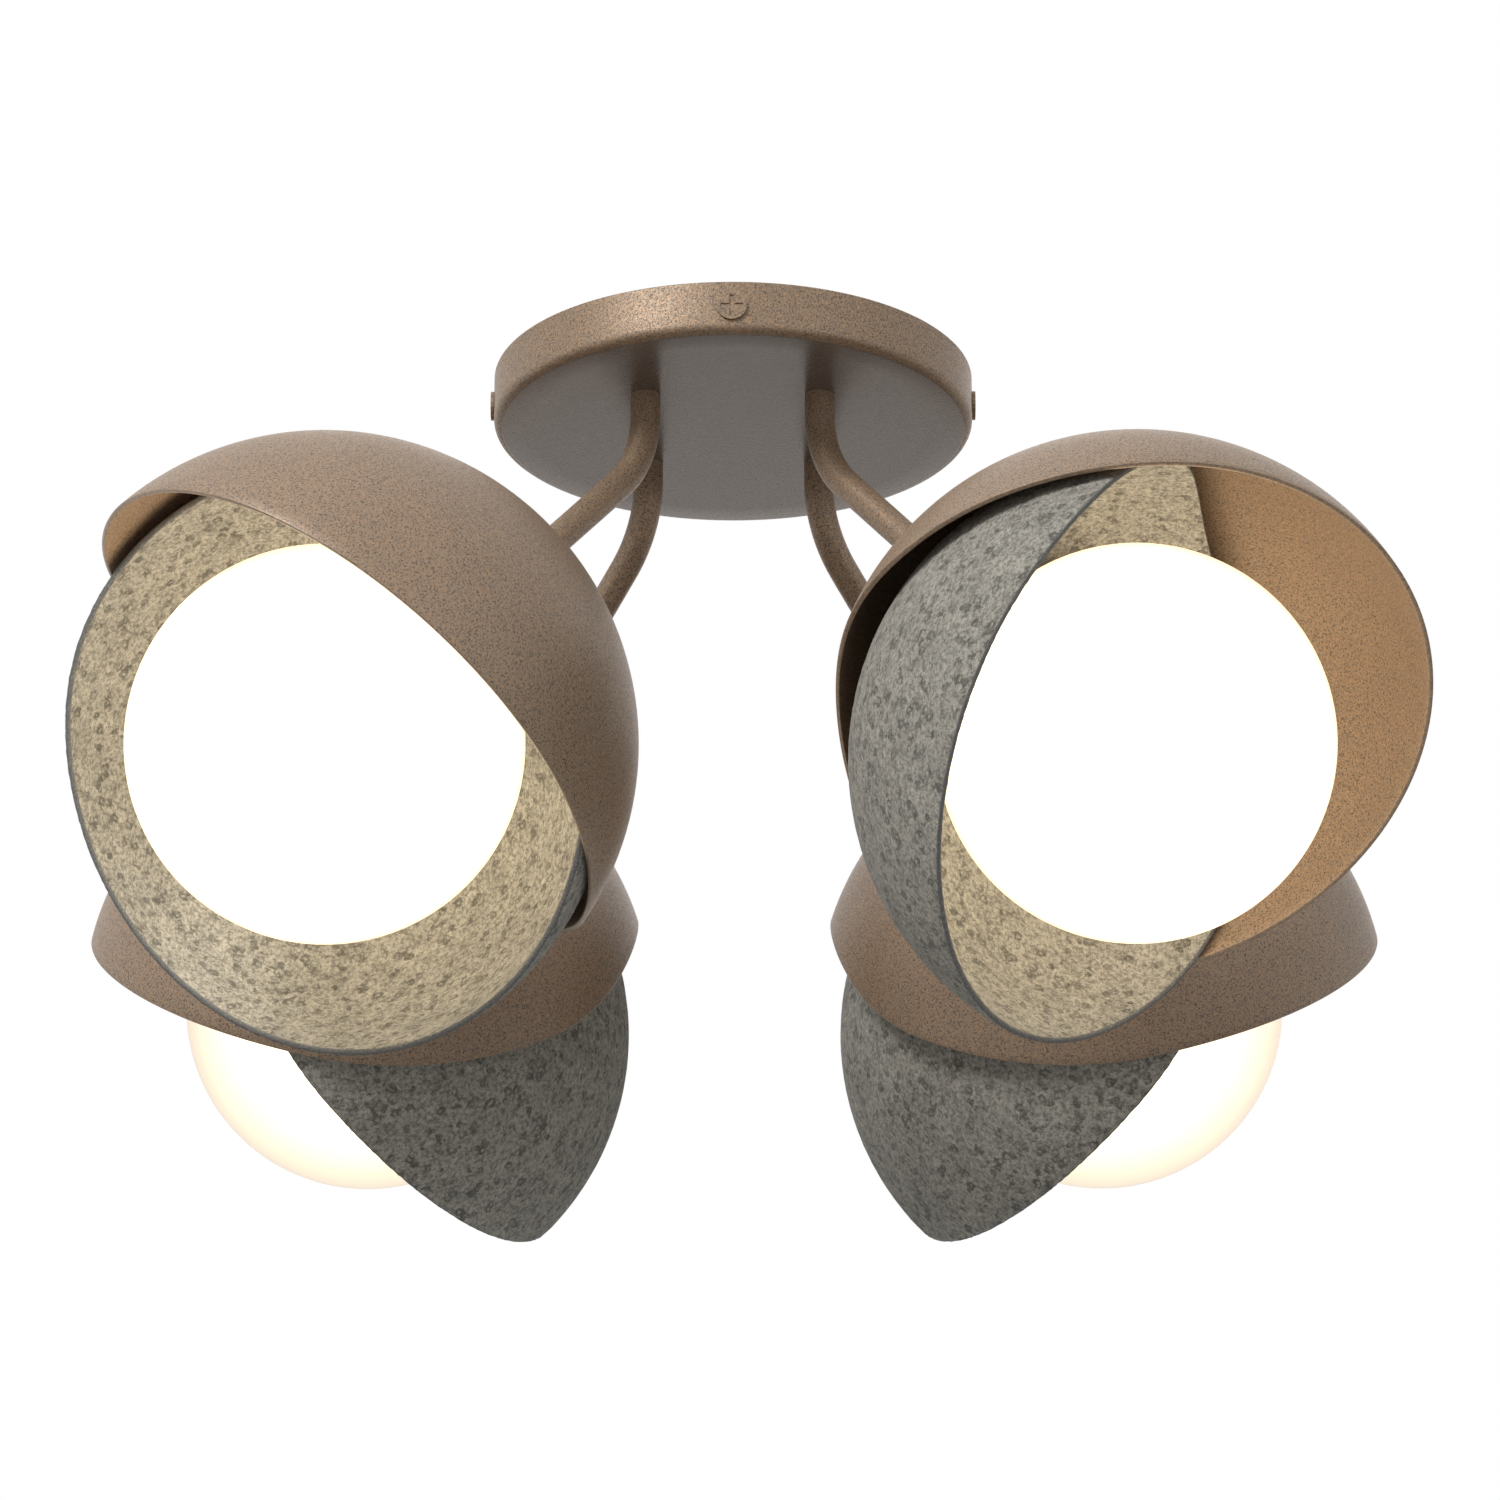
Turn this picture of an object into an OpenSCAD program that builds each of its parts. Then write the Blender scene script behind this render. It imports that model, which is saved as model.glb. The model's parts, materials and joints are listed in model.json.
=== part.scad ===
// Semi flush ceiling light with four opal globes. A bent tube carries each globe, and round
// each globe two nested bowls, a metal outer shade and a felt inner shade, turn about the tube.
// Millimetres, +Z up. The origin is the middle of the ceiling face, and -Y is the front.

/* [Canopy] */
// Outside diameter of the ceiling canopy
canopy_d = 206; // [190:1:230]
// Height of the canopy below the ceiling
canopy_h = 23; // [21:0.5:32]
// Sheet thickness of the canopy
canopy_wall = 1.6; // [1:0.1:2.5]
// Radius of the canopy's lower outside edge
canopy_edge_r = 4; // [2.5:0.5:6]

/* [Mounting plate] */
// Thickness of the plate that is screwed to the ceiling box
plate_t = 2.5; // [2:0.1:4]
// Diameter of the plate's round middle
plate_hub_d = 116; // [112:1:124]
// Width of the four straps and of their tabs
strap_w = 25; // [18:1:30]
// How far the tabs reach below the ceiling
tab_drop = 18; // [16:0.5:19]
// Screw spacing of the wide ceiling box, along X
wide_box_spacing = 88.9; // [80:0.1:92]
// Screw spacing of the narrow ceiling box, along Y
narrow_box_spacing = 69.85; // [60:0.05:80]
// Width of the slots for the box screws
slot_w = 5; // [4.5:0.1:6]
// Length of the slots from end to end
slot_l = 14; // [8:0.5:16]
// Diameter of the middle hole for the supply wires
wire_hole_d = 20; // [14:1:26]

/* [Side screws] */
// Thread diameter of the four screws in the canopy's side
side_screw_d = 4; // [3:0.5:5]
// Diameter of their flat heads
side_head_d = 12.5; // [9:0.5:14]
// Thickness of their flat heads
side_head_t = 1.4; // [1:0.1:2.5]
// Length of one bar of the cross recess
recess_l = 9.6; // [5:0.2:10]
// Width of the bars of the cross recess
recess_w = 2; // [1:0.1:2.5]
// Depth of the cross recess
recess_depth = 0.6; // [0.3:0.1:0.9]
// Length of the threaded shank under the head
side_shank_l = 7; // [6:0.5:10]

/* [Arms] */
// Outside diameter of the arm tube
tube_d = 12.7; // [12.2:0.1:16]
// Distance from the middle to the straight upper end of each arm
arm_spread = 52.4; // [46:0.2:60]
// Radius of the bend, to the tube's middle
bend_r = 52; // [30:1:56]
// Angle between the lower end of each arm and the vertical
arm_lean = 45; // [40:1:50]

/* [Heads] */
// Distance from the middle to each globe's centre, seen from above
head_reach = 229; // [224:1:245]
// Height from the canopy's underside down to each globe's centre
head_drop = 207; // [200:1:220]

/* [Outer shades] */
// Distance from the globe's glass out to the metal bowl's outside
globe_space = 45.3; // [44:0.1:50]
// Sheet thickness of the metal bowl
outer_wall = 2; // [1.2:0.1:2.5]
// Radius of the flat seat at the bowl's pole
outer_seat_r = 13; // [12:0.5:18]
// Turn of the front left bowl about its arm
outer_turn_fl = 120.5; // [0:0.5:360]
// Turn of the front right bowl about its arm
outer_turn_fr = 127.5; // [0:0.5:360]
// Turn of the back left bowl about its arm
outer_turn_bl = 125; // [0:0.5:360]
// Turn of the back right bowl about its arm
outer_turn_br = 235; // [0:0.5:360]

/* [Inner shades] */
// How much smaller the felt bowl's outside radius is than the metal bowl's
shade_step = 2.7; // [2.5:0.1:4]
// Thickness of the felt
inner_wall = 3; // [2:0.1:4]
// How far the felt bowl's centre lies beyond the globe's centre, along the arm
inner_shift = 14.7; // [12:0.1:17]
// Radius of the flat seat at the felt bowl's pole
inner_seat_r = 16.5; // [15:0.5:20]
// Turn of the front left felt bowl about its arm
inner_turn_fl = 324.5; // [0:0.5:360]
// Turn of the front right felt bowl about its arm
inner_turn_fr = 321; // [0:0.5:360]
// Turn of the back left felt bowl about its arm
inner_turn_bl = 320; // [0:0.5:360]
// Turn of the back right felt bowl about its arm
inner_turn_br = 40; // [0:0.5:360]

/* [Shade rim] */
// Slope of the straight part of the rim, against a square cut
rim_tilt = 20; // [12:0.5:26]
// Height of that straight part's line where it passes the arm's axis
rim_height = -12; // [-20:0.5:-6]
// Distance from the arm's axis to where the rim starts to sweep down
sweep_start = 24.6; // [15:0.2:40]
// Radius of the long sweep
sweep_r = 316; // [200:1:400]
// Angle through which the long sweep turns
sweep_turn = 19; // [14:0.5:22]
// Radius of the tight sweep that ends at the low side
low_sweep_r = 52; // [45:1:60]

/* [Globe] */
// Outside diameter of the glass globe
globe_d = 160; // [150:1:164]
// Thickness of the glass
glass_t = 3; // [2:0.5:4]
// Outside diameter of the globe's neck
neck_d = 62; // [56:1:64]
// Length of the neck that stands below the sphere
neck_l = 12; // [10:0.5:14]

/* [Globe holder] */
// Sheet thickness of the cup that takes the neck
cup_wall = 1.5; // [1:0.1:2]
// Thickness of the soft ring under the neck
gasket_t = 2.5; // [1.5:0.1:3]
// Thread diameter of the screws that grip the neck
grip_screw_d = 4; // [3:0.5:5]
// Number of screws that grip each neck
grip_screws = 3; // [3:1:4]

/* [Lamp] */
// Outside diameter of the lampholder
holder_d = 34; // [32:0.5:38]
// Thickness of the lampholder behind its socket
holder_base_l = 8; // [6:0.5:10]
// Depth of the lampholder's socket
socket_depth = 26; // [24:0.5:28]
// Thread diameter of the bulb's cap
cap_d = 26; // [25:0.5:27]
// Diameter of the bulb's round end
bulb_d = 48; // [40:1:52]
// Length of the bulb
bulb_l = 94; // [88:1:104]

/* [Threaded tubes] */
// Thread diameter of the hollow threaded tubes
nipple_d = 10; // [9.4:0.1:10.4]
// Bore of the threaded tubes, for the wires
nipple_bore = 7; // [5:0.5:7.5]
// How deep the canopy's threaded tubes sit in the arms
top_grip = 7; // [5:0.5:8]
// How deep the heads' threaded tubes sit in the arms
nipple_grip = 20; // [12:1:26]
// Width across the flats of the lock nuts
nut_across = 14; // [13:0.5:15]
// Height of the lock nuts
nut_h = 3.5; // [2.5:0.5:4]
// Thickness of the flat washers
washer_t = 1.2; // [0.8:0.1:1.5]

/* [Hidden] */
// Fineness of the round shapes
$fn = 96;
// Number of flats along each sweep of a shade's rim
rim_steps = 10;
// Number of bands in a shade's curve, from its seat to its rim
bowl_steps = 24;
// Overrun of every cut past the face that it opens
over = 1;
// How much thinner the arm's tube is along its bend
bend_draw = 0.1;
// Gap round a threaded tube in a piece that stays still
slip_gap = 0.05;
// Gap round a threaded tube in a bowl that turns on it
run_gap = 0.08;
// Gap between flat faces that turn against each other
turn_gap = 0.1;
// Gap round a screw in a plain hole
screw_gap = 0.25;

// Outline of the canopy and its side screws
canopy_r = canopy_d/2;
canopy_inner_r = canopy_r - canopy_wall;
side_screw_z = -canopy_h/2;
tab_clearance = 0.4;
tab_face = sqrt(pow(canopy_inner_r - tab_clearance, 2) - pow(strap_w/2, 2));
earth_screw_spot = plate_hub_d*0.33;
earth_head_d = 8;
earth_head_t = 2.5;

// Azimuth of each head, seen from above, and the place of its name in every list
HEADS = ["front_left", "front_right", "back_left", "back_right"];
azimuths = [225, 315, 135, 45];
outer_turns = [outer_turn_fl, outer_turn_fr, outer_turn_bl, outer_turn_br];
inner_turns = [inner_turn_fl, inner_turn_fr, inner_turn_bl, inner_turn_br];

// Outside radii of the two bowls of a head, each about its own centre
outer_r = globe_d/2 + globe_space;
inner_r = outer_r - shade_step;

// Arm: where its two straight lines cross, and how much of each the bend takes
corner_z = -canopy_h - head_drop + (head_reach - arm_spread)/tan(arm_lean);
bend_take = bend_r*tan(arm_lean/2);
lower_line = (head_reach - arm_spread)/sin(arm_lean);
tube_bore = nipple_d + 2*slip_gap;

// Heights along the arm's axis, counted from the globe's centre towards the bulb's end
outer_seat = -sqrt(pow(outer_r, 2) - pow(outer_seat_r, 2));
outer_seat_in = outer_seat + outer_wall;
arm_end = outer_seat - turn_gap;
inner_seat = inner_shift - sqrt(pow(inner_r, 2) - pow(inner_seat_r, 2));
inner_seat_in = inner_seat + inner_wall;
hub_flange = inner_seat - washer_t;
hub_end = inner_seat_in + washer_t;
spacer_start = outer_seat_in + turn_gap + washer_t;
spacer_end = hub_flange - turn_gap;
boss_start = hub_end + turn_gap;
neck_r = neck_d/2;
neck_end = -sqrt(pow(globe_d/2, 2) - pow(neck_r, 2)) - neck_l;
cup_floor = neck_end - gasket_t;
cup_base = cup_floor - cup_wall;
cup_rim = neck_end + neck_l*0.85;
grip_z = neck_end + neck_l*0.45;
holder_start = cup_floor + nut_h;
nipple_end = holder_start + holder_base_l*0.6;

// Radii of the small round pieces of a head
spacer_d = nipple_d*1.6;
outer_washer_d = 2*outer_seat_r*0.88;
hub_flange_r = inner_seat_r*0.96;
hub_barrel_r = nipple_d*0.7;
boss_r = nipple_d*0.95;
neck_gap = 0.8;
cup_r = neck_r + neck_gap + cup_wall;
grip_head_d = grip_screw_d*2;
grip_head_l = grip_screw_d*1.5;
shell_wall = 0.6;
shell_gap = 0.2;
socket_r = cap_d/2 + 2*shell_gap + shell_wall;
socket_floor = holder_start + holder_base_l;
cap_l = socket_depth + shell_wall;
bulb_foot = socket_floor + shell_gap;
bulb_ball = bulb_foot + bulb_l - bulb_d/2;
canopy_washer_d = nipple_d*1.9;

// Stands its children at head i: their +Z is the arm's axis, from the arm towards the bulb's end
module at_head(i) {
    rotate([0, 0, azimuths[i]])
        translate([head_reach, 0, -canopy_h - head_drop])
            rotate([0, 180 - arm_lean, 0])
                children();
}

// Stands its children under the canopy where arm i starts
module at_arm_top(i) {
    rotate([0, 0, azimuths[i]])
        translate([arm_spread, 0, -canopy_h])
            children();
}

// A ring or a tube from height a to height b
module ring(outside, bore, a, b) {
    translate([0, 0, a])
        difference() {
            cylinder(h = b - a, r = outside);
            translate([0, 0, -over])
                cylinder(h = b - a + 2*over, r = bore);
        }
}

// A hexagon nut from height a upwards
module lock_nut(a) {
    translate([0, 0, a])
        difference() {
            cylinder(h = nut_h, d = nut_across/cos(30), $fn = 6);
            translate([0, 0, -over])
                cylinder(h = nut_h + 2*over, d = nipple_d + 2*slip_gap);
        }
}

// Half of the canopy's section: a dish with a round lower edge
module canopy_outline(r, h, edge) {
    translate([0, -h])
        square([r - edge, h]);
    translate([0, -h + edge])
        square([r, h - edge]);
    intersection() {
        translate([r - edge, -h + edge])
            circle(r = edge);
        translate([r - edge, -h])
            square([edge, edge]);
    }
}

module canopy() {
    color("rosybrown")
        difference() {
            rotate_extrude()
                difference() {
                    canopy_outline(canopy_r, canopy_h, canopy_edge_r);
                    translate([0, over])
                        canopy_outline(canopy_inner_r, canopy_h - canopy_wall + over,
                                       canopy_edge_r - canopy_wall);
                }
            for (i = [0:3])
                at_arm_top(i)
                    translate([0, 0, -over])
                        cylinder(h = canopy_wall + 2*over, d = nipple_d + 2*slip_gap);
            for (side = [0:90:270])
                rotate([0, 0, side])
                    translate([canopy_inner_r - over, 0, side_screw_z])
                        rotate([0, 90, 0])
                            cylinder(h = canopy_wall + 2*over, d = side_screw_d + 2*screw_gap);
        }
}

// A slot along X, centred on its place
module slot(depth) {
    reach = (slot_l - slot_w)/2;
    for (s = [-1, 1])
        translate([s*reach, 0, -depth])
            cylinder(h = 2*depth, d = slot_w);
    translate([-reach, -slot_w/2, -depth])
        cube([2*reach, slot_w, 2*depth]);
}

module mounting_plate() {
    color("silver")
        difference() {
            union() {
                translate([0, 0, -plate_t])
                    cylinder(h = plate_t, d = plate_hub_d);
                for (side = [0:90:270])
                    rotate([0, 0, side]) {
                        translate([0, -strap_w/2, -plate_t])
                            cube([tab_face, strap_w, plate_t]);
                        translate([tab_face - plate_t, -strap_w/2, -tab_drop])
                            cube([plate_t, strap_w, tab_drop]);
                    }
            }
            translate([0, 0, -plate_t - over])
                cylinder(h = plate_t + 2*over, d = wire_hole_d);
            for (s = [-1, 1]) {
                translate([s*wide_box_spacing/2, 0, -plate_t/2])
                    slot(plate_t);
                translate([0, s*narrow_box_spacing/2, -plate_t/2])
                    rotate([0, 0, 90])
                        slot(plate_t);
            }
            for (side = [0:90:270])
                rotate([0, 0, side])
                    translate([tab_face - plate_t - over, 0, side_screw_z])
                        rotate([0, 90, 0])
                            cylinder(h = plate_t + 2*over, d = side_screw_d + 2*slip_gap);
            rotate([0, 0, azimuths[3]])
                translate([earth_screw_spot, 0, -plate_t - over])
                    cylinder(h = plate_t + 2*over, d = side_screw_d + 2*slip_gap);
        }
}

// A flat round head with a cross recess, on a shank that points along -X
module cross_head_screw() {
    difference() {
        union() {
            rotate([0, 90, 0])
                cylinder(h = side_head_t, d = side_head_d);
            translate([-side_shank_l, 0, 0])
                rotate([0, 90, 0])
                    cylinder(h = side_shank_l, d = side_screw_d);
        }
        for (turn = [0, 90])
            rotate([turn, 0, 0])
                translate([side_head_t - recess_depth, -recess_l/2, -recess_w/2])
                    cube([recess_depth + over, recess_l, recess_w]);
    }
}

module canopy_screws() {
    color("saddlebrown")
        for (side = [0:90:270])
            rotate([0, 0, side])
                translate([canopy_r, 0, side_screw_z])
                    cross_head_screw();
}

// The earth screw hangs head down from the plate
module earth_screw() {
    color("green")
        rotate([0, 0, azimuths[3]])
            translate([earth_screw_spot, 0, -plate_t]) {
                translate([0, 0, -earth_head_t])
                    cylinder(h = earth_head_t, d = earth_head_d);
                translate([0, 0, -earth_head_t])
                    cylinder(h = earth_head_t + plate_t, d = side_screw_d);
            }
}

// The line of an arm as a solid of diameter d. Bending draws the tube in a little.
module arm_line(d, extra) {
    bend_z = corner_z + bend_take;
    translate([arm_spread, 0, bend_z])
        cylinder(h = -canopy_h - bend_z + extra, d = d);
    translate([arm_spread + bend_r, 0, bend_z])
        rotate([90, 0, 0])
            rotate([0, 0, 180])
                rotate_extrude(angle = arm_lean)
                    translate([bend_r, 0])
                        circle(d = d - bend_draw);
    translate([arm_spread, 0, corner_z])
        rotate([0, 180 - arm_lean, 0])
            translate([0, 0, bend_take])
                cylinder(h = lower_line + arm_end - bend_take + extra, d = d);
}

// A tube hangs from the canopy, bends outwards and runs straight down to its head
module arm(i) {
    color("tan")
        rotate([0, 0, azimuths[i]])
            difference() {
                arm_line(tube_d, 0);
                arm_line(tube_bore, over);
            }
}

module canopy_nipples() {
    color("goldenrod")
        for (i = [0:3])
            at_arm_top(i)
                ring(nipple_d/2, nipple_bore/2, -top_grip,
                     canopy_wall + washer_t + nut_h + washer_t);
}

module canopy_washers() {
    color("silver")
        for (i = [0:3])
            at_arm_top(i)
                ring(canopy_washer_d/2, nipple_d/2 + slip_gap, canopy_wall,
                     canopy_wall + washer_t);
}

module canopy_locknuts() {
    color("gold")
        for (i = [0:3])
            at_arm_top(i)
                lock_nut(canopy_wall + washer_t);
}

module head_nipples() {
    color("goldenrod")
        for (i = [0:3])
            at_head(i)
                ring(nipple_d/2, nipple_bore/2, arm_end - nipple_grip, nipple_end);
}

module friction_washers() {
    color("dimgray")
        for (i = [0:3])
            at_head(i)
                ring(outer_washer_d/2, nipple_d/2 + slip_gap, outer_seat_in + turn_gap,
                     spacer_start);
}

module shade_spacers() {
    color("silver")
        for (i = [0:3])
            at_head(i)
                ring(spacer_d/2, nipple_d/2 + slip_gap, spacer_start, spacer_end);
}

module head_locknuts() {
    color("gold")
        for (i = [0:3])
            at_head(i)
                lock_nut(cup_floor);
}

// Points on an arc about a centre, from angle a to angle b
function arc(centre, r, a, b, steps) =
    [for (k = [0:steps]) centre + r*[cos(a + (b - a)*k/steps), sin(a + (b - a)*k/steps)]];

// What is left of a bowl under its rim, seen from the side. The rim line falls from the high
// side at +X: it is straight, then a long sweep, then a tight one.
module rim_outline(reach) {
    start = [sweep_start, rim_height + sweep_start*tan(rim_tilt)];
    middle = start + sweep_r*[sin(rim_tilt), -cos(rim_tilt)];
    turned = rim_tilt + sweep_turn;
    end = middle + sweep_r*[-sin(turned), cos(turned)];
    low_middle = end + low_sweep_r*[sin(turned), -cos(turned)];
    polygon(concat(
        [start + reach*[cos(rim_tilt), sin(rim_tilt)], [reach, -reach],
         [low_middle[0] - low_sweep_r, -reach]],
        arc(low_middle, low_sweep_r, 180, 90 + turned, rim_steps),
        arc(middle, sweep_r, 90 + turned - sweep_turn/rim_steps, 90 + rim_tilt, rim_steps - 1)));
}

// A round bowl about the origin, open towards +Z, with a flat seat and a hole at its pole
module bowl(r, wall, seat_r, hole_r) {
    seat = -sqrt(pow(r, 2) - pow(seat_r, 2));
    inside = r - wall;
    inside_seat_r = sqrt(pow(inside, 2) - pow(seat + wall, 2));
    intersection() {
        rotate_extrude()
            polygon(concat(
                [[hole_r, seat + wall], [hole_r, seat]],
                arc([0, 0], r, atan2(seat, seat_r), rim_tilt, bowl_steps),
                arc([0, 0], inside, rim_tilt, atan2(seat + wall, inside_seat_r), bowl_steps)));
        rotate([90, 0, 0])
            translate([0, 0, -r])
                linear_extrude(height = 2*r)
                    rim_outline(2*r);
    }
}

module outer_shade(i) {
    color("peru")
        at_head(i)
            rotate([0, 0, outer_turns[i]])
                bowl(outer_r, outer_wall, outer_seat_r, nipple_d/2 + run_gap);
}

module inner_shade(i) {
    color("gray")
        at_head(i)
            translate([0, 0, inner_shift])
                rotate([0, 0, inner_turns[i]])
                    bowl(inner_r, inner_wall, inner_seat_r, hub_barrel_r + slip_gap);
}

// The eyelet that lines the felt bowl's hole: a flange outside and a barrel through the felt
module inner_hub(i) {
    color("silver")
        at_head(i) {
            ring(hub_flange_r, nipple_d/2 + run_gap, hub_flange, inner_seat);
            ring(hub_barrel_r, nipple_d/2 + run_gap, inner_seat, hub_end);
        }
}

module hub_ring(i) {
    color("lightgray")
        at_head(i)
            ring(hub_flange_r, hub_barrel_r + slip_gap, inner_seat_in, hub_end);
}

// The cup behind the globe: a boss on the threaded tube, a flat base and a wall round the neck
module globe_holder(i) {
    color("tan")
        at_head(i)
            difference() {
                union() {
                    translate([0, 0, boss_start])
                        cylinder(h = cup_base + cup_wall/2 - boss_start, r = boss_r);
                    translate([0, 0, cup_base])
                        cylinder(h = cup_rim - cup_base, r = cup_r);
                }
                translate([0, 0, cup_floor])
                    cylinder(h = cup_rim - cup_floor + over, r = cup_r - cup_wall);
                translate([0, 0, boss_start - over])
                    cylinder(h = cup_floor - boss_start + 2*over, d = nipple_d + 2*slip_gap);
                for (k = [0:grip_screws - 1])
                    rotate([0, 0, k*360/grip_screws])
                        translate([cup_r - cup_wall - over, 0, grip_z])
                            rotate([0, 90, 0])
                                cylinder(h = cup_wall + 2*over, d = grip_screw_d + 2*slip_gap);
            }
}

module grip_screws() {
    color("silver")
        for (i = [0:3])
            at_head(i)
                for (k = [0:grip_screws - 1])
                    rotate([0, 0, k*360/grip_screws])
                        translate([neck_r + slip_gap, 0, grip_z])
                            rotate([0, 90, 0]) {
                                cylinder(h = neck_gap + 2*cup_wall, d = grip_screw_d);
                                translate([0, 0, neck_gap + 2*cup_wall])
                                    cylinder(h = grip_head_l, d = grip_head_d);
                            }
}

module globe_gaskets() {
    color("white")
        for (i = [0:3])
            at_head(i)
                ring(neck_r, neck_r - glass_t, cup_floor, neck_end);
}

// The lampholder stands on the lock nut and takes the end of the threaded tube
module lampholder(i) {
    color("white")
        at_head(i)
            difference() {
                translate([0, 0, holder_start])
                    cylinder(h = holder_base_l + socket_depth, d = holder_d);
                translate([0, 0, socket_floor])
                    cylinder(h = socket_depth + over, r = socket_r);
                translate([0, 0, holder_start - over])
                    cylinder(h = nipple_end - holder_start + over, d = nipple_d + 2*slip_gap);
            }
}

// The threaded metal shells inside the lampholders
module socket_shells() {
    color("gold")
        for (i = [0:3])
            at_head(i)
                ring(socket_r, socket_r - shell_wall, socket_floor,
                     socket_floor + socket_depth*0.8);
}

// Half of a bulb's section: cap, cone and round end
module bulb_outline() {
    flare = bulb_ball - bulb_d*0.22;
    polygon([[0, bulb_foot], [cap_d*0.2, bulb_foot], [cap_d/2, bulb_foot + cap_d*0.12],
             [cap_d/2, bulb_foot + cap_l], [cap_d/2 + shell_wall, bulb_foot + cap_l],
             [bulb_d*0.45, flare], [bulb_d*0.45, bulb_ball], [0, bulb_ball]]);
    intersection() {
        translate([0, bulb_ball])
            circle(d = bulb_d);
        translate([0, bulb_ball - bulb_d/2])
            square([bulb_d, bulb_d]);
    }
}

module bulb(i) {
    color("ivory")
        at_head(i)
            rotate_extrude()
                bulb_outline();
}

// A glass sphere with a short neck on the arm's side
module globe(i) {
    neck_bore = neck_r - glass_t;
    color("white")
        at_head(i)
            rotate_extrude()
                difference() {
                    union() {
                        intersection() {
                            circle(d = globe_d);
                            translate([0, -globe_d/2])
                                square([globe_d, globe_d]);
                        }
                        translate([0, neck_end])
                            square([neck_r, -neck_end]);
                    }
                    circle(d = globe_d - 2*glass_t);
                    translate([-over, neck_end - over])
                        square([neck_bore + over, -neck_end]);
                }
}

canopy();
mounting_plate();
canopy_screws();
earth_screw();
canopy_nipples();
canopy_washers();
canopy_locknuts();
head_nipples();
friction_washers();
shade_spacers();
head_locknuts();
globe_gaskets();
grip_screws();
socket_shells();
for (i = [0:3]) {
    arm(i);
    globe_holder(i);
    lampholder(i);
    bulb(i);
    globe(i);
    outer_shade(i);
    inner_shade(i);
    inner_hub(i);
    hub_ring(i);
}
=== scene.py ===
"""Dresses the semi flush ceiling light: bronze arms and bowls, felt bowls and lit opal globes."""
import json
import math

import bmesh
import bpy
from mathutils import Matrix, Vector, noise


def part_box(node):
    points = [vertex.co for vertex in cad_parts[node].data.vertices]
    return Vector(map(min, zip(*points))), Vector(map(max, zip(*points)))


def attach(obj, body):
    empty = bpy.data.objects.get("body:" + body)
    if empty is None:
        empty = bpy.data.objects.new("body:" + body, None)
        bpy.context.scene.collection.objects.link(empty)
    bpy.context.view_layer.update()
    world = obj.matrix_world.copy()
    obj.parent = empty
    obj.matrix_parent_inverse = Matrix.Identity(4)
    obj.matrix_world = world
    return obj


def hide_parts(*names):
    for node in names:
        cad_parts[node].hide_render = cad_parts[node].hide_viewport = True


bl_info = {
    "name": "Globe and felt ceiling light",
    "version": (1, 0, 0),
    "blender": (4, 5, 0),
    "location": "3D View > Sidebar > Ceiling Light",
    "description": "Models the bowls, globes, arms and canopy of a semi flush ceiling light",
    "category": "Object",
}

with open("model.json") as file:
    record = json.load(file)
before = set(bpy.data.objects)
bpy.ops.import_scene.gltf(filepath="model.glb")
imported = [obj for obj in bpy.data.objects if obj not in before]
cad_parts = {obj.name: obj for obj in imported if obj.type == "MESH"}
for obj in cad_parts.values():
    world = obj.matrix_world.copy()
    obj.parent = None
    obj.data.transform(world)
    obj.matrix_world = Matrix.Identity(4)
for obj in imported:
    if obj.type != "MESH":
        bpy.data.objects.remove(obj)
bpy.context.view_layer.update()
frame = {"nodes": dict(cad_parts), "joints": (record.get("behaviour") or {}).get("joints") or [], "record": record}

HEADS = ("front_left", "front_right", "back_left", "back_right")
# Rest turn of each bowl about its arm, in degrees
OUTER_TURNS = {"front_left": 120.5, "front_right": 127.5, "back_left": 125, "back_right": 235}
FELT_TURNS = {"front_left": 324.5, "front_right": 321, "back_left": 320, "back_right": 40}
UP = Vector((0, 0, 1))

# Steps round each kind of piece, and along a bowl's outline
CANOPY_ROUND = 160
METAL_ROUND = 192
FELT_ROUND = 480
GLOBE_ROUND = 128
TUBE_SIDES = 40
BEND_STEPS = 18
METAL_STEPS = 44
FELT_STEPS = 50
LIP_STEPS = 8
# How much of a bowl's outline its rounded lip takes, in metres
METAL_LIP = 0.0004
FELT_LIP = 0.0012
# Angle from the pole to which a bowl is round before its rim is shaped
ROUND_REACH = math.radians(105)
# Angles from the pole between which every rim lies, and the halvings that find it
RIM_LIMITS = (math.radians(20), math.radians(130))
HALVINGS = 30
# Edges sharper than this stay sharp, in degrees
SHARP = 35
FELT_SHARP = 60

# Level of the floor below the ceiling face and half its width, in metres
FLOOR_LEVEL = -3.5
FLOOR_HALF = 8
# Light that the camera sees on the floor beyond what the lamps give it, which makes it white
FLOOR_GLOW = 0.75
# Name, place, diameter in metres and power in watts of each lamp, and where they all aim
LAMPS = (
    ("key", (-1.7, -2.3, 1.7), 1.6, 70),
    ("fill", (1.6, -2.4, 0.2), 2.0, 4),
    ("back", (0.3, 2.4, 1.2), 2.0, 6),
)
LAMP_AIM = Vector((0, 0, -0.2))


def length(name, description, default):
    return bpy.props.FloatProperty(name=name, description=description, default=default,
                                   min=0.0, unit="LENGTH")


def place(name, description, default):
    return bpy.props.FloatProperty(name=name, description=description, default=default,
                                   unit="LENGTH")


def turn(name, description, degrees):
    return bpy.props.FloatProperty(name=name, description=description,
                                   default=math.radians(degrees), subtype="ANGLE")


def colour(name, description, default):
    return bpy.props.FloatVectorProperty(name=name, description=description, default=default,
                                         size=3, min=0.0, max=1.0, subtype="COLOR")


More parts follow.
